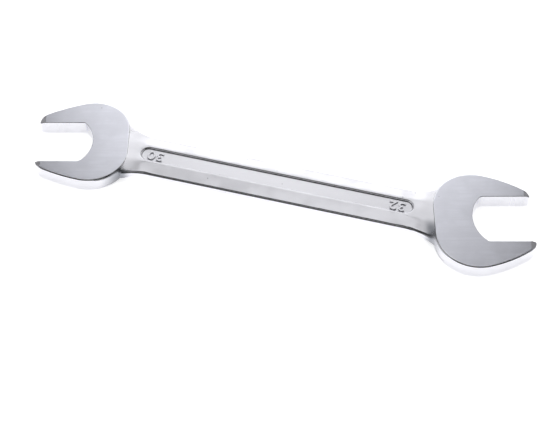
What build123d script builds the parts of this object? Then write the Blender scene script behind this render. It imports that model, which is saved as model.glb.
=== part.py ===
from build123d import *
from dataclasses import dataclass
from math import acos, cos, degrees, radians, sin, sqrt
import os

# Double open end wrench, drop forged in one piece, lying on its ground head faces.
# The origin is at the centre of its footprint: +X runs along the shank to the larger jaw,
# +Y lies across the shank and +Z stands up. Lengths are in millimetres, angles in degrees.

# Whole wrench
overall_length = 303.0         # between the outermost jaw tips
head_thickness = 9.4           # over the two ground faces
jaw_angle = 15.0               # from the shank's axis to the jaws' axis
jaw_clearance = 0.2            # jaw gap beyond the nut's width across flats
forging_draft = 3.0            # lean of the heads' outer walls from the parting line
cut_overrun = 5.0              # how far a cut runs past what it cuts

# Larger head, measured from the head's centre along the jaws' axis
large_nut = 32.0               # width across flats
large_width = 68.2             # across both arms
large_back = 28.5              # to the flat back edge
large_tip = 28.9               # to the jaw tips
large_shoulder = 24.2          # radius between the back edge and an arm
large_arm = 76.0               # radius of an arm's outer edge
large_throat = 22.4            # radius of the throat
large_throat_depth = 5.8       # back to the throat's deepest point
large_throat_offset = 0.9      # from the jaws' axis to that point
large_recess_gap = 10.4        # from the back edge to the end of the recess

# Smaller head
small_nut = 30.0
small_width = 62.4
small_back = 26.8
small_tip = 28.6
small_shoulder = 23.0
small_arm = 115.0
small_throat = 20.8
small_throat_depth = 4.7
small_throat_offset = -0.5
small_recess_gap = 7.0

# Both heads
shoulder_sweep = 14.8          # how far a shoulder's arc runs past the widest point
jaw_offset = 0.75              # jaw axis beside the middle of the head's outline
throat_left_round = 4.0        # where the throat meets the jaw on the left of the jaws' axis
throat_right_round = 1.5
tip_end_round = 9.0            # from a tip's blunt end into the arm's outer edge
tip_jaw_round = 1.2            # from a jaw face into the tip's blunt end
tip_bevel_length = 3.6         # sloping end of a ground face at a tip
tip_bevel_drop = 1.3
rim_round = 1.2                # along the outer rims of the ground faces
jaw_chamfer = 0.3              # along the rims of the jaws and the throat

# Shank
shank_width = 28.8
shank_edge = 3.8               # height of its upright edges
shank_edge_round = 2.2
crest_width = 12.8             # flat top of the shank, which holds the recess
crest_drop = 1.0               # from a ground face down to the crest
crest_round = 0.8              # crease between the crest and a bevel

# Neck, where the shank spreads into a head; its root is at the back of the head
neck_length = 15.0             # from where it starts to spread to the root
neck_lead = 3.0                # straight start before it spreads
neck_run_in = 5.0              # from the root on into the head
neck_width = 34.0              # at the root
neck_lean = 3.0                # more on the side where the head's back edge slants away
neck_edge = 5.0
neck_crest_width = 16.0
neck_crest_drop = 0.4
neck_crest_round = 12.0
neck_sections = 5              # from the shank to the root
spread_power = 2.0             # the higher, the later the neck spreads
lean_power = 3.0               # the higher, the later it leans
rise_power = 4.0               # the higher, the later the neck rises

# Long recess in the crests of both sides
recess_width = 10.0
recess_depth = 1.2
recess_draft = 30.0            # lean of its walls
recess_floor_chamfer = 0.4     # from its walls out onto its floor
recess_rim_round = 0.6         # from its walls out onto the crest


@dataclass
class Head:
    nut: float
    width: float
    back: float
    tip: float
    shoulder: float
    arm: float
    throat: float
    throat_depth: float
    throat_offset: float
    recess_gap: float


large_head = Head(
    large_nut, large_width, large_back, large_tip, large_shoulder, large_arm,
    large_throat, large_throat_depth, large_throat_offset, large_recess_gap,
)
small_head = Head(
    small_nut, small_width, small_back, small_tip, small_shoulder, small_arm,
    small_throat, small_throat_depth, small_throat_offset, small_recess_gap,
)


def head_outline(head):
    """Outer outline of a head about its centre, with the jaws opening along +X."""
    shoulder_x = head.shoulder - head.back
    shoulder_y = head.width / 2 - head.shoulder
    arm_end = 90 - shoulder_sweep
    arm_x = shoulder_x - (head.arm - head.shoulder) * cos(radians(arm_end))
    arm_y = shoulder_y - (head.arm - head.shoulder) * sin(radians(arm_end))
    arm_start = degrees(acos((head.tip - arm_x) / head.arm))
    tip_half = arm_y + sqrt(head.arm**2 - (head.tip - arm_x) ** 2)
    upper = [
        Line((-head.back, 0), (-head.back, shoulder_y)),
        CenterArc((shoulder_x, shoulder_y), head.shoulder, arm_end, 180 - arm_end),
        CenterArc((arm_x, arm_y), head.arm, arm_start, arm_end - arm_start),
        Line((head.tip, tip_half), (head.tip, 0)),
    ]
    lower = [mirror(edge, about=Plane.XZ) for edge in upper]
    outline = make_face(upper + lower)
    tips = outline.vertices().group_by(Axis.X)[-1]
    return fillet(tips, tip_end_round)


def throat_corner(head, jaw):
    """Where the throat's arc meets a jaw face, which lies at a signed distance from the axis."""
    middle = head.throat - head.throat_depth
    return middle - sqrt(head.throat**2 - (jaw - head.throat_offset) ** 2), jaw


def jaw_channel(head):
    """Plan of the space between the jaws, from its arched throat to its rounded mouth."""
    half_gap = (head.nut + jaw_clearance) / 2
    mouth = half_gap + 2 * tip_jaw_round
    end = head.tip + cut_overrun
    left = throat_corner(head, half_gap)
    right = throat_corner(head, -half_gap)
    left_lip = (head.tip, half_gap)
    right_lip = (head.tip, -half_gap)
    sides = Polyline(
        left, left_lip, (head.tip, mouth), (end, mouth),
        (end, -mouth), (head.tip, -mouth), right_lip, right,
    )
    throat = ThreePointArc(right, (-head.throat_depth, head.throat_offset), left)
    channel = make_face([sides, throat])
    rounds = (
        (left_lip, tip_jaw_round), (right_lip, tip_jaw_round),
        (left, throat_left_round), (right, throat_right_round),
    )
    for corner, radius in rounds:
        channel = fillet(channel.vertices().sort_by_distance((*corner, 0))[0], radius)
    return Pos(0, jaw_offset) * channel


def tip_bevels(head):
    """Wedges that slope both ground faces down at the jaw tips."""
    top = head_thickness / 2
    fall = tip_bevel_drop / tip_bevel_length
    start = head.tip - tip_bevel_length
    end = head.tip + cut_overrun
    wedge = Polygon((start, top), (end, top), (end, top - fall * (end - start)), align=None)
    upper = extrude(Plane.XZ * wedge, head.width, both=True)
    return upper + mirror(upper, about=Plane.XY)


def jaw_cutter(head):
    """Cutter of the space between the jaws, which breaks its rims on both ground faces."""
    channel = jaw_channel(head)
    flare_base = head_thickness / 2 - jaw_chamfer
    flare = extrude(Pos(0, 0, flare_base) * channel, 2 * jaw_chamfer, taper=-45)
    through = extrude(channel, head_thickness, both=True)
    return [through, flare, mirror(flare, about=Plane.XY)]


def make_head(head):
    """A head about its own centre, leaning in from the parting line to both ground faces."""
    upper = extrude(head_outline(head), head_thickness / 2, taper=forging_draft)
    ground = upper.faces().sort_by(lambda face: abs(face.center().Z))[-1]
    upper = fillet(ground.edges(), rim_round)
    forging = upper + mirror(upper, about=Plane.XY)
    return forging - jaw_cutter(head) - tip_bevels(head)


def place_head(head, solid):
    """Location of a head at the +X end: its outermost tip is half the length from the origin."""
    turn = Rot(0, 0, jaw_angle)
    box = (turn * solid).bounding_box()
    middle = (box.min.Y + box.max.Y) / 2
    return Pos(overall_length / 2 - box.max.X, -middle) * turn


def neck_root(head, place):
    """Distance from the origin, along the shank, at which a head's back edge crosses it."""
    return place.position.X - head.back / cos(radians(jaw_angle))


def shank_profile(width, lean, edge, edge_round, crest, height, crest_round):
    """Eight-sided section of the shank: flat crests, sloping bevels and upright edges."""
    far_side = width / 2
    near_side = far_side + lean
    profile = Polygon(
        (crest / 2, -height / 2), (far_side, -edge / 2),
        (far_side, edge / 2), (crest / 2, height / 2),
        (-crest / 2, height / 2), (-near_side, edge / 2),
        (-near_side, -edge / 2), (-crest / 2, -height / 2), align=None,
    )
    outer = profile.vertices().sort_by(lambda corner: abs(corner.X))[-4:]
    profile = fillet(outer, edge_round)
    crests = profile.vertices().sort_by(lambda corner: abs(corner.Y))[-4:]
    return fillet(crests, crest_round)


def straight_profile():
    """Section of the straight part of the shank."""
    height = head_thickness - 2 * crest_drop
    return shank_profile(
        shank_width, 0, shank_edge, shank_edge_round, crest_width, height, crest_round
    )


def neck_profile(share):
    """Section of the neck at a share of the way from the shank to the root."""
    spread = max(share, 0) ** spread_power
    reach = min(max(share, 0), 1)
    drop = crest_drop + (neck_crest_drop - crest_drop) * reach**rise_power
    return shank_profile(
        shank_width + (neck_width - shank_width) * spread,
        neck_lean * max(share, 0) ** lean_power,
        shank_edge + (neck_edge - shank_edge) * spread,
        shank_edge_round,
        crest_width + (neck_crest_width - crest_width) * reach,
        head_thickness - 2 * drop,
        crest_round + (neck_crest_round - crest_round) * reach,
    )


def make_neck(root):
    """Neck into a head at +X; its sections turn from square to the shank to square to the jaws."""
    shares = [-neck_lead / neck_length]
    shares += [station / neck_sections for station in range(neck_sections + 1)]
    shares += [1 + neck_run_in / neck_length]
    sections = []
    for share in shares:
        x = root - neck_length * (1 - share)
        turn = jaw_angle * min(max(share, 0), 1)
        upright = Plane.YZ * neck_profile(share)
        sections.append(Pos(x, 0, 0) * Rot(0, 0, turn) * upright)
    return loft(sections)


def make_shank(start, end):
    """Straight part of the shank between the two necks."""
    return extrude(Plane.YZ.offset(start) * straight_profile(), end - start)


def recess_tool(start, end):
    """Die that presses the long recess into the upper crest, flared where it meets the crest."""
    crest = head_thickness / 2 - crest_drop
    level = Pos((start + end) / 2, 0, crest)
    slot = level * SlotOverall(end - start, recess_width)
    pocket = extrude(slot, -recess_depth, taper=recess_draft)
    pocket = chamfer(pocket.faces().sort_by(Axis.Z)[0].edges(), recess_floor_chamfer)
    spread = 2 * recess_rim_round
    wide_slot = level * SlotOverall(end - start + 2 * spread, recess_width + 2 * spread)
    above = extrude(wide_slot, cut_overrun)
    die = pocket + above
    mouth = die.faces().filter_by(Axis.Z).sort_by(Axis.Z)[1].inner_wires()[0]
    return fillet(mouth.edges(), recess_rim_round)


def make_wrench():
    """The whole forging about its middle plane."""
    large = make_head(large_head)
    small = make_head(small_head)
    large_place = place_head(large_head, large)
    small_place = place_head(small_head, small)
    large_root = neck_root(large_head, large_place)
    small_root = neck_root(small_head, small_place)
    half_turn = Rot(0, 0, 180)

    neck_reach = neck_lead + neck_length
    body = make_shank(neck_reach - small_root, large_root - neck_reach)
    body += [make_neck(large_root), half_turn * make_neck(small_root)]
    body += [large_place * large, half_turn * small_place * small]
    recess = recess_tool(small_recess_gap - small_root, large_root - large_recess_gap)
    return body - [recess, mirror(recess, about=Plane.XY)]


os.makedirs("parts", exist_ok=True)
forged_body = Pos(0, 0, head_thickness / 2) * make_wrench()
forged_body.label = "forged_body"
export_step(forged_body, "parts/forged_body.step")
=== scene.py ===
import math
from dataclasses import dataclass
from types import SimpleNamespace

import bmesh
import bpy
from bpy.props import FloatProperty, FloatVectorProperty, PointerProperty
from bpy.types import Operator, Panel, PropertyGroup
from mathutils import Matrix, Vector


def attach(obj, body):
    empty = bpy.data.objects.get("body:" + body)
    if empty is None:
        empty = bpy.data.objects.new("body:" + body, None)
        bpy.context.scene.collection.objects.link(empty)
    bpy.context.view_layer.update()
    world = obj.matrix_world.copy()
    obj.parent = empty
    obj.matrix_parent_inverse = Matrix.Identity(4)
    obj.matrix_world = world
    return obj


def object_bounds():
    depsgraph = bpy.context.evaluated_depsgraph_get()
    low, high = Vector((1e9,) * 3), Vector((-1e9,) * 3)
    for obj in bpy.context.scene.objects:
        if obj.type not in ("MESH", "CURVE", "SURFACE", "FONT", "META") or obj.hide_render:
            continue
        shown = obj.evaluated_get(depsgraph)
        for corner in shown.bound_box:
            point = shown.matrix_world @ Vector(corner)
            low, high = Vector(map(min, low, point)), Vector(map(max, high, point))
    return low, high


bl_info = {
    "name": "Open end wrench",
    "version": (1, 0, 0),
    "blender": (4, 5, 0),
    "location": "View3D > Sidebar > Wrench",
    "description": "Finishes a double open end wrench and stands it in a pale studio",
    "category": "Object",
}

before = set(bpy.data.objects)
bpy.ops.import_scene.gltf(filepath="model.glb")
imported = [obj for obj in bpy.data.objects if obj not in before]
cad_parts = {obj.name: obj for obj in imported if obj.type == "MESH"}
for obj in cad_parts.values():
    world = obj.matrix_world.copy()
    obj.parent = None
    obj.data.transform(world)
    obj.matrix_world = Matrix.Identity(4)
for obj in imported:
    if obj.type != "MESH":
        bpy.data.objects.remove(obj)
CAD_LOW, CAD_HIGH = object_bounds()
BODY = "root"
FORGING = "forged_body"
FINISH = "satin_chrome_finish"
MM = 0.001
THICKNESS = CAD_HIGH.z         # over the ground faces of the heads, which lie on the floor
MIDDLE = THICKNESS / 2


# Sizes and colours that a user would change

class FinishSettings(PropertyGroup):
    """Finishes of the plated steel."""

    skin_colour: FloatVectorProperty(
        name="Forged skin",
        description="Colour of the chrome over the forged skin of the shank and the necks",
        subtype="COLOR",
        size=3,
        min=0.0,
        max=1.0,
        default=(0.79, 0.79, 0.835),
    )
    ground_colour: FloatVectorProperty(
        name="Ground faces",
        description="Colour of the faces that were ground flat on both heads",
        subtype="COLOR",
        size=3,
        min=0.0,
        max=1.0,
        default=(0.775, 0.785, 0.86),
    )
    skin_roughness: FloatProperty(
        name="Skin roughness",
        description="Roughness of the forged skin",
        min=0.0,
        max=1.0,
        default=0.33,
    )
    ground_roughness: FloatProperty(
        name="Ground roughness",
        description="Roughness of the ground faces",
        min=0.0,
        max=1.0,
        default=0.33,
    )
    jaw_roughness: FloatProperty(
        name="Jaw roughness",
        description="Roughness of the broached jaws and throats",
        min=0.0,
        max=1.0,
        default=0.26,
    )


class NumeralSettings(PropertyGroup):
    """Raised size numerals in the recess."""

    height: FloatProperty(
        name="Height",
        description="Height of a numeral inside its rounded rims",
        unit="LENGTH",
        min=1.0 * MM,
        default=6.0 * MM,
    )
    rise: FloatProperty(
        name="Rise",
        description="How far the numerals stand above the floor of the recess",
        unit="LENGTH",
        min=0.15 * MM,
        default=0.6 * MM,
    )
    spacing: FloatProperty(
        name="Spacing",
        description="Space between the two numerals, as a share of the font's own",
        min=0.5,
        max=2.0,
        default=0.96,
    )


class StudioSettings(PropertyGroup):
    """Camera and light."""

    azimuth: FloatProperty(
        name="Azimuth",
        description="Where the camera stands round the wrench",
        subtype="ANGLE",
        default=math.radians(15.0),
    )
    elevation: FloatProperty(
        name="Elevation",
        description="How far the camera looks down",
        subtype="ANGLE",
        default=math.radians(51.64),
    )
    distance: FloatProperty(
        name="Distance",
        description="From the camera to the point it looks at",
        unit="LENGTH",
        default=0.774,
    )
    target: FloatVectorProperty(
        name="Target",
        description="Point that the camera looks at",
        subtype="XYZ",
        unit="LENGTH",
        size=3,
        default=(0.00728, -0.0279, THICKNESS),
    )
    lens: FloatProperty(
        name="Lens",
        description="Focal length for a picture 36 mm wide",
        unit="CAMERA",
        default=87.7,
    )
    floor_colour: FloatVectorProperty(
        name="Floor",
        description="Colour of the pale floor",
        subtype="COLOR",
        size=3,
        min=0.0,
        max=1.0,
        default=(0.9, 0.9, 0.9),
    )
    floor_glow: FloatProperty(
        name="Floor glow",
        description="Light that the floor gives off, which keeps its shadows pale",
        min=0.0,
        default=0.67,
    )


# Forging, in millimetres in the frame of the wrench

@dataclass
class Head:
    """A head of the wrench, measured along and across its jaws."""

    centre: tuple              # x and y of its centre
    turn: float                # direction in which the jaws open, in degrees
    half_gap: float            # from the jaws' axis to a jaw face
    throat: float              # from the centre back to the throat's deepest point
    shoulder: float            # radius of the outline between the back edge and an arm
    shoulder_at: tuple         # middle of that radius, ahead of and beside the centre
    # painted shade: the dark reflection in the hollow between neck and shoulder is painted into
    # the colour, on the near side only
    painted_hollow_shade: tuple              # y where the hollow between neck and shoulder starts and is full


# The head for 32 mm, then the one for 30 mm
HEADS = (
    Head(
        centre=(119.296, 1.113), turn=15.0, half_gap=16.1, throat=5.8,
        shoulder=24.2, shoulder_at=(-4.3, 9.9), painted_hollow_shade=(-4.5, -12.0),
    ),
    Head(
        centre=(-119.864, -0.983), turn=195.0, half_gap=15.1, throat=4.7,
        shoulder=23.0, shoulder_at=(-3.8, 8.2), painted_hollow_shade=(-13.0, -17.0),
    ),
)
JAW_OFFSET = 0.75              # jaws' axis beside the middle of a head's outline
RECESS_ENDS = (-85.7, 80.0)    # x of the recess's rim, left and right
RECESS_HALF_WIDTH = 5.6        # out to its rim
RECESS_FLOOR = 2.2             # below the ground faces

# Numerals: what they say and where their middle is along the shank
NUMERALS = (("30", -76.1), ("32", 69.8))
NUMERAL_SIDE = -0.5            # y of their middle
NUMERAL_SINK = 0.2             # how far they reach into the floor of the recess
NUMERAL_ROUND = 0.1            # along their rims
NUMERAL_STRETCH = 1.22         # wider than the font's own

# Fades of the finishes and of the painted shade, in millimetres: a finish or shade is missing at
# the first value of a pair and full at the second. A level is the distance from the middle plane
# of the wrench
GROUND_FADE = (0.06, 0.02)     # depth below a ground face
JAW_FADE = (0.6, 0.3)          # depth behind a jaw face or the throat
RECESS_FADE = (0.1, -0.1)      # distance outside the recess
RECESS_LEVELS = (3.6, 3.3)     # from the crest of the shank into the recess
# the painted shade in the hollows beside the near shoulders fades in over these two pairs
HOLLOW_SHADE_FADE = (6.5, 1.5)       # distance from the wall of a shoulder
HOLLOW_SHADE_REACH = (102.0, 92.0)   # distance from the middle of the shank
NECK_START = (80.0, 97.0)      # distance from the middle of the shank
NECK_END = (108.0, 101.0)      # distance from the middle of the shank
NECK_LEVELS = (4.5, 4.3)       # from the ground faces down to a neck
EDGE_LEVELS = (2.3, 1.8)       # from a bevel down to the shank's upright edge
# the painted shade towards the jaw tips fades in along this distance
TIP_SHADE_FADE = (2.0, 28.0)         # distance along the jaws from the centre of a head
HEAD_SWITCH = (-1.0, 1.0)      # x where the finish turns from one head's jaws to the other's

# Softened edges, with their radii in millimetres
EDGE_RADIUS = 0.25
NECK_RADIUS = 7.0
SOFT_SAMPLES = 16
NECK_FACING = (0.90, 0.97)     # share of z in the normal where a neck starts to be levelled
NECK_LEVELLING = 7.0           # weight of the upright direction there
WEAR_TURN = (0.995, 0.93)      # cosine between the softened normal and the face's own
STEEP_FACING = (0.95, 0.80)    # share of z in the normal of a sloping wall

# Colours and their shades, as shares of the finish's own colour
SKIN_SHADES = (0.965, 1.02)
GROUND_SHADES = (0.93, 1.025)
RECESS_SHADE = 0.9
SCORE_SHADE = 0.955
# painted shade: how much darker the ground faces grow at the jaw tips
TIP_PAINTED_SHADE = 0.13
# painted shade: the dark reflection in the hollows where the necks meet the near shoulders
PAINTED_HOLLOW_SHADE = (0.2, 0.21, 0.24)
PAINTED_HOLLOW_SHADE_SHARE = 0.85
PIT_COLOUR = (0.12, 0.12, 0.13)
PIT_SHARE = 0.6

# Marks of the finish, and the noise where they start and are full
PATCH_NOISE = (0.36, 0.64)
SCORE_NOISE = (0.35, 0.75)
MOTTLE_SHARE = 0.6             # share of the fine clouds in the patches, beside the wide ones
GRINDING_SHARE = 0.5           # share of the grinding in the streaks, beside the scores
PIT_CELLS = 150.0              # to a metre, most of them without a pit
PIT_RARITY = (0.6, 0.62)       # random value of a cell
PIT_SIZE = (0.07, 0.03)        # distance from a pit's middle, as a share of its cell

# Roughness, as changes to the finish's own unless it says otherwise
SKIN_ROUGHER = (0.04, -0.03)
GROUND_ROUGHER = (-0.06, 0.06)
JAW_ROUGHER = (-0.05, 0.05)
EDGE_SMOOTHER = 0.15
WEAR_SMOOTHER = 0.05
RECESS_ROUGHNESS = 0.3         # the roughness itself
STEEP_ROUGHNESS = 0.15         # the roughness itself

# Relief, as weights of its marks
SKIN_PEEL = 1.4
SKIN_GRAIN = 0.5
GROUND_GRAIN = 0.4
JAW_BROACHING = 1.6
PIT_DEPTH = 3.0
RELIEF_STRENGTH = 0.6
RELIEF_DEPTH = 0.02            # millimetres

# Studio, in metres

@dataclass
class Lamp:
    """A lamp over the wrench, turned towards its middle."""

    name: str
    shape: str
    width: float
    depth: float
    climb: float               # from the far horizon over the top, in degrees
    distance: float            # from the middle of the wrench
    shift: float               # to the right
    radiance: float            # watts per square metre and steradian
    mirrored: bool             # by the metal


LAMPS = (
    Lamp(
        name="round_softbox", shape="ELLIPSE", width=0.71, depth=0.63, climb=37.0,
        distance=0.9, shift=0.03, radiance=1.48, mirrored=True,
    ),
    Lamp(
        name="top_strip", shape="RECTANGLE", width=1.0, depth=0.54, climb=80.0,
        distance=1.0, shift=-0.04, radiance=1.0, mirrored=True,
    ),
    Lamp(
        name="floor_wash", shape="RECTANGLE", width=3.0, depth=3.0, climb=85.0,
        distance=1.2, shift=0.0, radiance=0.6, mirrored=False,
    ),
)
FLOOR_HALF_WIDTH = 3.0
FLOOR_ROUGHNESS = 0.9
FLOOR_SPECULAR = 0.1
NEAREST_SEEN = 0.01            # by the camera
PICTURE_WIDTH = 36.0           # of the camera's sensor, in millimetres

# Light of the room, which the metal mirrors: the cosine to the far side, to a side or to the top
# where the light of a wall, the backdrop or the horizon starts and where it is full
REAR_FARNESS = (-0.42, -0.58)
REAR_HEIGHT = (0.62, 0.74)
SIDE_REACH = (0.64, 0.86)
BACKDROP_HEIGHT = (0.46, 0.30)
BACKDROP_FARNESS = (-0.1, 0.35)
HORIZON_HEIGHT = (0.22, 0.08)
DARK_LIGHT = 0.02
REAR_LIGHT = 0.38
SIDE_LIGHT = 0.42
HORIZON_LIGHT = 1.04
BACKDROP_SHARE = 0.78          # share of the horizon's light
WHITE = (1.0, 1.0, 1.0, 1.0)
BLACK = (0.0, 0.0, 0.0, 1.0)


def shaded(colour, share=1.0):
    """Opaque colour for a shader, lighter or darker by a share."""
    return (*(min(part * share, 1.0) for part in colour), 1.0)


# Node tools

class Tree:
    """Short ways to add and join the nodes of a material or a world."""

    def __init__(self, tree):
        self.tree = tree
        tree.nodes.clear()

    def add(self, kind, **values):
        node = self.tree.nodes.new(kind)
        for name, value in values.items():
            setattr(node, name, value)
        return node

    def feed(self, socket, value):
        """Sets an input socket to a number or a colour, or joins it to an output."""
        if isinstance(value, bpy.types.NodeSocket):
            self.tree.links.new(value, socket)
        else:
            socket.default_value = value

    def feed_all(self, node, values):
        """Feeds a node's first inputs in order."""
        for socket, value in zip(node.inputs, values):
            self.feed(socket, value)

    def output(self, kind, surface):
        self.feed(self.add(kind).inputs["Surface"], surface)

    def math(self, operation, *values, clamp=False):
        node = self.add("ShaderNodeMath", operation=operation, use_clamp=clamp)
        self.feed_all(node, values)
        return node.outputs[0]

    def absolute(self, value):
        return self.math("ABSOLUTE", value)

    def product(self, first, *others):
        for value in others:
            first = self.math("MULTIPLY", first, value)
        return first

    def weighed(self, first, second, share):
        """Sum of two values, where the first has a share and the second has the rest."""
        return self.math("ADD", self.product(first, share), self.product(second, 1.0 - share))

    def vector(self, operation, *values):
        node = self.add("ShaderNodeVectorMath", operation=operation)
        self.feed_all(node, values)
        return node.outputs["Value" if operation in ("DOT_PRODUCT", "LENGTH") else "Vector"]

    def split(self, vector):
        """Outputs X, Y and Z of a vector."""
        node = self.add("ShaderNodeSeparateXYZ")
        self.feed(node.inputs[0], vector)
        return node.outputs

    def join(self, x, y, z=0.0):
        node = self.add("ShaderNodeCombineXYZ")
        self.feed_all(node, (x, y, z))
        return node.outputs[0]

    def step(self, value, low, high):
        """0 below low, 1 above high and smooth between. With low above high it falls instead."""
        node = self.add("ShaderNodeMapRange", interpolation_type="SMOOTHSTEP")
        self.feed_all(node, (value, low, high, 0.0, 1.0))
        return node.outputs["Result"]

    def fade(self, length, limits):
        """Step of a length between two limits in millimetres."""
        low, high = limits
        return self.step(length, low * MM, high * MM)

    def mix(self, share, first, second):
        """Mix of two colours."""
        node = self.add("ShaderNodeMix", data_type="RGBA")
        self.feed(node.inputs["Factor"], share)
        self.feed(node.inputs[6], first)
        self.feed(node.inputs[7], second)
        return node.outputs[2]

    def blend(self, share, first, second):
        """Mix of two numbers."""
        node = self.add("ShaderNodeMix", data_type="FLOAT")
        self.feed(node.inputs["Factor"], share)
        self.feed(node.inputs[2], first)
        self.feed(node.inputs[3], second)
        return node.outputs[0]

    def noise(self, place, scale, detail=2.0, stretch=(1.0, 1.0, 1.0)):
        """Noise about 0.5, in grains per metre, with a share of that scale on each axis."""
        mapping = self.add("ShaderNodeMapping")
        mapping.inputs["Scale"].default_value = [scale * share for share in stretch]
        self.feed(mapping.inputs["Vector"], place)
        node = self.add("ShaderNodeTexNoise")
        node.inputs["Scale"].default_value = 1.0
        node.inputs["Detail"].default_value = detail
        self.feed(node.inputs["Vector"], mapping.outputs["Vector"])
        return node.outputs["Fac"]

    def bump(self, height, strength, depth, normal):
        node = self.add("ShaderNodeBump")
        self.feed(node.inputs["Normal"], normal)
        node.inputs["Strength"].default_value = strength
        node.inputs["Distance"].default_value = depth
        self.feed(node.inputs["Height"], height)
        return node.outputs["Normal"]


# Satin chrome

def head_axes(tree, place, head):
    """Distance along a head's jaws from its centre, and across them from the jaws' axis."""
    turn = math.radians(head.turn)
    along = Vector((math.cos(turn), math.sin(turn), 0.0))
    across = Vector((-math.sin(turn), math.cos(turn), 0.0))
    centre = Vector((*head.centre, 0.0))
    axis = across.dot(centre) + JAW_OFFSET
    ahead = tree.math("SUBTRACT", tree.vector("DOT_PRODUCT", place, along), along.dot(centre) * MM)
    beside = tree.math("SUBTRACT", tree.vector("DOT_PRODUCT", place, across), axis * MM)
    return ahead, beside


def jaw_zone(tree, head, ahead, beside):
    """Jaw faces and throat of a head, seen from above."""
    between = tree.fade(tree.absolute(beside), [head.half_gap + depth for depth in JAW_FADE])
    in_front = tree.fade(ahead, [-head.throat - depth for depth in JAW_FADE])
    return tree.product(between, in_front)


def painted_hollow_shade_zone(tree, head, ahead, beside, y):
    """Painted shade in the hollow beside the near shoulder of a head, where the neck runs into it.
    """
    middle_ahead, middle_beside = head.shoulder_at
    beside = tree.absolute(tree.math("ADD", beside, JAW_OFFSET * MM))
    beside = tree.math("MAXIMUM", tree.math("SUBTRACT", beside, middle_beside * MM), 0.0)
    ahead = tree.math("SUBTRACT", ahead, middle_ahead * MM)
    away = tree.vector("LENGTH", tree.join(ahead, beside))
    at_wall = tree.fade(away, [head.shoulder + gap for gap in HOLLOW_SHADE_FADE])
    return tree.product(at_wall, tree.fade(y, head.painted_hollow_shade))


def recess_zone(tree, x, y, level):
    """Floor and walls of the recess on both sides."""
    left, right = RECESS_ENDS
    inside = tree.fade(level, RECESS_LEVELS)
    for value, edge in ((tree.absolute(y), RECESS_HALF_WIDTH), (x, right)):
        inside = tree.product(inside, tree.fade(value, [edge + gap for gap in RECESS_FADE]))
    return tree.product(inside, tree.fade(x, [left - gap for gap in RECESS_FADE]))


def forging_zones(tree, place):
    """Shares of the finishes and of the painted shade at a place on the forging, and that place in
    the jaws' direction.
    """
    x, y, z = tree.split(place)
    from_middle = tree.absolute(x)
    level = tree.absolute(tree.math("SUBTRACT", z, MIDDLE))
    ground = tree.fade(tree.math("SUBTRACT", MIDDLE, level), GROUND_FADE)
    below = tree.math("SUBTRACT", 1.0, ground)
    large, small = [head_axes(tree, place, head) for head in HEADS]
    jaws = [jaw_zone(tree, head, *axes) for head, axes in zip(HEADS, (large, small))]
    # masks of the painted shade in the hollows beside the near shoulders
    hollow_shades = [painted_hollow_shade_zone(tree, head, *axes, y) for head, axes in zip(HEADS, (large, small))]
    painted_hollow_shade = tree.math("ADD", *hollow_shades, clamp=True)
    painted_hollow_shade = tree.product(painted_hollow_shade, tree.fade(from_middle, HOLLOW_SHADE_REACH))
    necks = tree.product(tree.fade(from_middle, NECK_START), tree.fade(from_middle, NECK_END))
    at_large = tree.fade(x, HEAD_SWITCH)
    ahead = tree.blend(at_large, small[0], large[0])
    beside = tree.blend(at_large, small[1], large[1])
    return SimpleNamespace(
        ground=ground,
        jaws=tree.product(tree.math("ADD", *jaws, clamp=True), below),
        painted_hollow_shade=tree.product(painted_hollow_shade, below),
        recess=recess_zone(tree, x, y, level),
        necks=tree.product(necks, tree.fade(level, NECK_LEVELS)),
        edges=tree.fade(level, EDGE_LEVELS),
        # mask of the painted shade towards the jaw tips
        painted_tip_shade=tree.fade(ahead, TIP_SHADE_FADE),
        turned=tree.join(ahead, beside, z),
    )


def chrome_marks(tree, place, turned):
    """Noises and pits of the finish. Those that follow the tools run in the jaws' direction."""
    pits = tree.add("ShaderNodeTexVoronoi")
    pits.inputs["Scale"].default_value = PIT_CELLS
    tree.feed(pits.inputs["Vector"], place)
    rare = tree.step(pits.outputs["Color"], *PIT_RARITY)
    mottle = tree.noise(place, scale=110.0, detail=4.0)
    cloud = tree.noise(place, scale=28.0)
    patches = tree.weighed(mottle, cloud, MOTTLE_SHARE)
    grinding = tree.noise(turned, scale=1500.0, detail=4.0, stretch=(0.04, 1.0, 0.0))
    scores = tree.noise(turned, scale=520.0, detail=3.0, stretch=(0.05, 1.0, 0.0))
    return SimpleNamespace(
        grinding=grinding,
        scores=scores,
        streaks=tree.weighed(grinding, scores, GRINDING_SHARE),
        broaching=tree.noise(turned, scale=2200.0, stretch=(1.0, 1.0, 0.02)),
        grain=tree.noise(place, scale=2600.0),
        peel=tree.noise(place, scale=420.0),
        patches=tree.step(patches, *PATCH_NOISE),
        pits=tree.product(tree.step(pits.outputs["Distance"], *PIT_SIZE), rare),
    )


def soft_normal(tree, necks):
    """Normal with rounded edges and blended necks, and the shares of wear and of steep walls."""
    bevel = tree.add("ShaderNodeBevel", samples=SOFT_SAMPLES)
    tree.feed(bevel.inputs["Radius"], tree.blend(necks, EDGE_RADIUS * MM, NECK_RADIUS * MM))
    soft = bevel.outputs["Normal"]
    own = tree.add("ShaderNodeNewGeometry").outputs["Normal"]
    tilt = tree.split(soft)["Z"]
    facing = tree.absolute(tilt)
    levelling = tree.product(necks, tree.step(facing, *NECK_FACING), NECK_LEVELLING)
    upright = tree.join(0.0, 0.0, tree.product(tree.math("SIGN", tilt), levelling))
    normal = tree.vector("NORMALIZE", tree.vector("ADD", soft, upright))
    wear = tree.step(tree.vector("DOT_PRODUCT", soft, own), *WEAR_TURN)
    return normal, wear, tree.step(facing, *STEEP_FACING)


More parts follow.
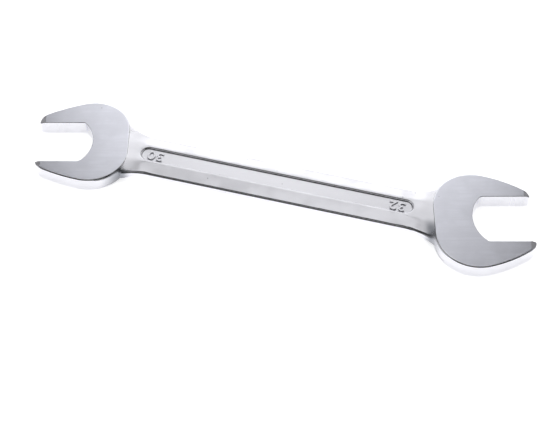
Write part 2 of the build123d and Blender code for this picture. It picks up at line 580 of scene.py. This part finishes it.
def chrome_colour(tree, zones, marks, finish):
    """Colour of the skin, the recess and the ground faces, with painted shade in the hollows and
    towards the jaw tips, and the pits.
    """
    skin = tree.mix(marks.patches, *[shaded(finish.skin_colour, share) for share in SKIN_SHADES])
    skin = tree.mix(zones.recess, skin, shaded(finish.skin_colour, RECESS_SHADE))
    ground = [shaded(finish.ground_colour, share) for share in GROUND_SHADES]
    faces = tree.mix(marks.patches, *ground)
    # painted shade: the ground faces darken towards the jaw tips, where the lamps' light falls off
    faces = tree.mix(tree.product(zones.painted_tip_shade, TIP_PAINTED_SHADE), faces, BLACK)
    scores = tree.step(marks.scores, *SCORE_NOISE)
    faces = tree.mix(scores, faces, shaded(finish.ground_colour, SCORE_SHADE))
    colour = tree.mix(zones.ground, skin, faces)
    # painted shade: the hollows beside the near shoulders are darkened in the colour
    colour = tree.mix(tree.product(zones.painted_hollow_shade, PAINTED_HOLLOW_SHADE_SHARE), colour, shaded(PAINTED_HOLLOW_SHADE))
    return tree.mix(tree.product(marks.pits, PIT_SHARE), colour, shaded(PIT_COLOUR))


def chrome_roughness(tree, zones, marks, wear, steep, finish):
    """Roughness of the skin, the recess, the ground faces and the jaws, less on worn edges."""
    skin = [finish.skin_roughness + change for change in SKIN_ROUGHER]
    skin = tree.blend(marks.patches, *skin)
    faces = [finish.ground_roughness + change for change in GROUND_ROUGHER]
    faces = tree.blend(marks.streaks, *faces)
    jaws = [finish.jaw_roughness + change for change in JAW_ROUGHER]
    jaws = tree.blend(marks.broaching, *jaws)
    rough = tree.blend(zones.edges, skin, tree.math("SUBTRACT", skin, EDGE_SMOOTHER))
    rough = tree.blend(zones.recess, rough, RECESS_ROUGHNESS)
    rough = tree.blend(steep, rough, STEEP_ROUGHNESS)
    rough = tree.blend(zones.ground, rough, faces)
    rough = tree.blend(zones.jaws, rough, jaws)
    return tree.math("SUBTRACT", rough, tree.product(wear, WEAR_SMOOTHER))


def chrome_relief(tree, zones, marks):
    """Height of the marks, from the peel of the skin to the grinding of the faces."""
    peel = tree.product(marks.peel, SKIN_PEEL)
    skin = tree.math("ADD", peel, tree.product(marks.grain, SKIN_GRAIN))
    faces = tree.math("ADD", marks.grinding, tree.product(marks.grain, GROUND_GRAIN))
    relief = tree.blend(zones.ground, skin, faces)
    relief = tree.blend(zones.jaws, relief, tree.product(marks.broaching, JAW_BROACHING))
    return tree.math("SUBTRACT", relief, tree.product(marks.pits, PIT_DEPTH))


def satin_chrome(finish):
    """Chrome over forged steel: ground head faces, broached jaws, pressed recess, forged skin."""
    material = bpy.data.materials.new(FINISH)
    material.use_nodes = True
    tree = Tree(material.node_tree)
    place = tree.add("ShaderNodeTexCoord").outputs["Object"]
    zones = forging_zones(tree, place)
    marks = chrome_marks(tree, place, zones.turned)
    normal, wear, steep = soft_normal(tree, zones.necks)
    relief = tree.bump(
        chrome_relief(tree, zones, marks), RELIEF_STRENGTH, RELIEF_DEPTH * MM, normal
    )
    roughness = chrome_roughness(tree, zones, marks, wear, steep, finish)

    shader = tree.add("ShaderNodeBsdfPrincipled")
    shader.inputs["Metallic"].default_value = 1.0
    tree.feed(shader.inputs["Base Color"], chrome_colour(tree, zones, marks, finish))
    tree.feed(shader.inputs["Roughness"], roughness)
    tree.feed(shader.inputs["Normal"], relief)
    tree.output("ShaderNodeOutputMaterial", shader.outputs["BSDF"])
    return material


# Operators

class WRENCH_OT_forging(Operator):
    """Give the forging its finishes"""

    bl_idname = "wrench.forging"
    bl_label = "Forging"

    def execute(self, context):
        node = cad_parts[FORGING]
        node.data.materials.clear()
        node.data.materials.append(satin_chrome(context.scene.wrench_finish))
        return {"FINISHED"}


class WRENCH_OT_numerals(Operator):
    """Raise the jaw sizes in the ends of the recess"""

    bl_idname = "wrench.numerals"
    bl_label = "Numerals"

    def execute(self, context):
        settings = context.scene.wrench_numerals
        material = bpy.data.materials.get(FINISH)
        if material is None:
            raise RuntimeError("the forging has no finish yet")
        floor = THICKNESS - RECESS_FLOOR * MM
        for digits, x in NUMERALS:
            height = floor + (settings.rise - NUMERAL_SINK * MM) / 2
            place = Matrix.Translation((x * MM, NUMERAL_SIDE * MM, height))
            mesh = self.raised_digits(context, digits, settings, place)
            mesh.name = "numeral_" + digits
            mesh.materials.clear()
            mesh.materials.append(material)
            numeral = bpy.data.objects.new("numeral_" + digits, mesh)
            context.scene.collection.objects.link(numeral)
            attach(numeral, BODY)
        return {"FINISHED"}

    def raised_digits(self, context, digits, settings, place):
        """Mesh of digits that read from the far side, with their middle at a place."""
        curve = bpy.data.curves.new("numeral_" + digits, "FONT")
        curve.body = digits
        curve.align_x = "CENTER"
        curve.size = 1.0
        curve.space_character = settings.spacing
        text = bpy.data.objects.new("text", curve)
        context.scene.collection.objects.link(text)
        context.view_layer.update()
        corners = [vertex.co.copy() for vertex in text.to_mesh().vertices]
        text.to_mesh_clear()
        left, right = min(co.x for co in corners), max(co.x for co in corners)
        low, high = min(co.y for co in corners), max(co.y for co in corners)
        scale = settings.height / (high - low)

        thickness = settings.rise + NUMERAL_SINK * MM
        curve.extrude = (thickness / 2 - NUMERAL_ROUND * MM) / scale
        curve.bevel_depth = NUMERAL_ROUND * MM / scale
        curve.bevel_resolution = 2
        context.view_layer.update()
        shape = text.evaluated_get(context.evaluated_depsgraph_get())
        mesh = bpy.data.meshes.new_from_object(shape)
        bpy.data.objects.remove(text)
        mesh.transform(
            place
            @ Matrix.Rotation(math.pi, 4, "Z")
            @ Matrix.Diagonal((scale * NUMERAL_STRETCH, scale, scale, 1.0))
            @ Matrix.Translation((-(left + right) / 2, -(low + high) / 2, 0.0))
        )
        return mesh


class WRENCH_OT_studio(Operator):
    """Set the floor, the lights and the camera"""

    bl_idname = "wrench.studio"
    bl_label = "Studio"

    def execute(self, context):
        studio = context.scene.wrench_studio
        context.scene.view_settings.view_transform = "Standard"
        self.make_floor(context, studio)
        self.make_lamps(context, studio)
        self.make_room(context, studio)
        self.make_camera(context, studio)
        return {"FINISHED"}

    def far_and_right(self, studio):
        """Level directions away from the camera and to its right."""
        turn = studio.azimuth
        far = Vector((-math.sin(turn), math.cos(turn), 0.0))
        right = Vector((math.cos(turn), math.sin(turn), 0.0))
        return far, right

    def make_floor(self, context, studio):
        mesh = bpy.data.meshes.new("floor")
        shape = bmesh.new()
        bmesh.ops.create_grid(shape, x_segments=1, y_segments=1, size=FLOOR_HALF_WIDTH)
        shape.to_mesh(mesh)
        shape.free()
        floor = bpy.data.objects.new("floor", mesh)
        context.scene.collection.objects.link(floor)
        material = bpy.data.materials.new("pale_floor")
        material.use_nodes = True
        tree = Tree(material.node_tree)
        shader = tree.add("ShaderNodeBsdfPrincipled")
        shader.inputs["Base Color"].default_value = shaded(studio.floor_colour)
        shader.inputs["Roughness"].default_value = FLOOR_ROUGHNESS
        shader.inputs["Specular IOR Level"].default_value = FLOOR_SPECULAR
        shader.inputs["Emission Color"].default_value = shaded(studio.floor_colour)
        shader.inputs["Emission Strength"].default_value = studio.floor_glow
        tree.output("ShaderNodeOutputMaterial", shader.outputs["BSDF"])
        mesh.materials.append(material)

    def make_lamps(self, context, studio):
        far, right = self.far_and_right(studio)
        for lamp in LAMPS:
            data = bpy.data.lights.new(lamp.name, "AREA")
            data.shape = lamp.shape
            data.size = lamp.width
            data.size_y = lamp.depth
            filled = math.pi / 4 if lamp.shape == "ELLIPSE" else 1.0
            area = lamp.width * lamp.depth * filled
            data.energy = lamp.radiance * math.pi * area
            climb = math.radians(lamp.climb)
            aim = far * math.cos(climb) + Vector((0.0, 0.0, math.sin(climb)))
            light = bpy.data.objects.new(lamp.name, data)
            light.location = aim * lamp.distance + right * lamp.shift
            light.rotation_mode = "QUATERNION"
            light.rotation_quaternion = aim.to_track_quat("Z", "Y")
            light.visible_glossy = lamp.mirrored
            light.visible_camera = False
            context.scene.collection.objects.link(light)

    def make_room(self, context, studio):
        """Dim room that the metal mirrors, which the camera itself sees as white."""
        world = bpy.data.worlds.new("studio_air")
        world.use_nodes = True
        tree = Tree(world.node_tree)
        direction = tree.add("ShaderNodeTexCoord").outputs["Object"]
        far, right = self.far_and_right(studio)
        farness = tree.vector("DOT_PRODUCT", direction, far)
        sideways = tree.absolute(tree.vector("DOT_PRODUCT", direction, right))
        height = tree.split(direction)["Z"]

        rear = tree.product(tree.step(farness, *REAR_FARNESS), tree.step(height, *REAR_HEIGHT))
        room = tree.blend(rear, DARK_LIGHT, REAR_LIGHT)
        room = tree.blend(tree.step(sideways, *SIDE_REACH), room, SIDE_LIGHT)
        backdrop = tree.product(
            tree.step(height, *BACKDROP_HEIGHT),
            tree.step(farness, *BACKDROP_FARNESS),
            BACKDROP_SHARE,
        )
        horizon = tree.math("MAXIMUM", backdrop, tree.step(height, *HORIZON_HEIGHT))
        light = tree.blend(horizon, room, HORIZON_LIGHT)
        camera_ray = tree.add("ShaderNodeLightPath").outputs["Is Camera Ray"]
        background = tree.add("ShaderNodeBackground")
        tree.feed(background.inputs["Color"], tree.mix(camera_ray, light, WHITE))
        tree.output("ShaderNodeOutputWorld", background.outputs["Background"])
        context.scene.world = world

    def make_camera(self, context, studio):
        far, _ = self.far_and_right(studio)
        level, climb = math.cos(studio.elevation), math.sin(studio.elevation)
        back = Vector((0.0, 0.0, climb)) - far * level
        data = bpy.data.cameras.new("camera")
        data.sensor_width = PICTURE_WIDTH
        data.lens = studio.lens
        data.clip_start = NEAREST_SEEN
        camera = bpy.data.objects.new("camera", data)
        camera.location = Vector(studio.target) + back * studio.distance
        camera.rotation_mode = "QUATERNION"
        camera.rotation_quaternion = (-back).to_track_quat("-Z", "Y")
        context.scene.collection.objects.link(camera)
        context.scene.camera = camera


class WRENCH_PT_panel(Panel):
    """Lists the wrench's settings and operators"""

    bl_idname = "WRENCH_PT_panel"
    bl_label = "Wrench"
    bl_space_type = "VIEW_3D"
    bl_region_type = "UI"
    bl_category = "Wrench"

    def draw(self, context):
        scene = context.scene
        for settings in (scene.wrench_finish, scene.wrench_numerals, scene.wrench_studio):
            for name in settings.bl_rna.properties.keys():
                if name not in ("rna_type", "name"):
                    self.layout.prop(settings, name)
        for operator in OPERATORS:
            self.layout.operator(operator.bl_idname)


OPERATORS = (WRENCH_OT_forging, WRENCH_OT_numerals, WRENCH_OT_studio)
CLASSES = (FinishSettings, NumeralSettings, StudioSettings, *OPERATORS, WRENCH_PT_panel)


def register():
    for cls in CLASSES:
        bpy.utils.register_class(cls)
    bpy.types.Scene.wrench_finish = PointerProperty(type=FinishSettings)
    bpy.types.Scene.wrench_numerals = PointerProperty(type=NumeralSettings)
    bpy.types.Scene.wrench_studio = PointerProperty(type=StudioSettings)


def unregister():
    del bpy.types.Scene.wrench_studio
    del bpy.types.Scene.wrench_numerals
    del bpy.types.Scene.wrench_finish
    for cls in reversed(CLASSES):
        bpy.utils.unregister_class(cls)


def main():
    register()
    bpy.ops.wrench.forging()
    bpy.ops.wrench.numerals()
    bpy.ops.wrench.studio()


if __name__ == "__main__":
    main()
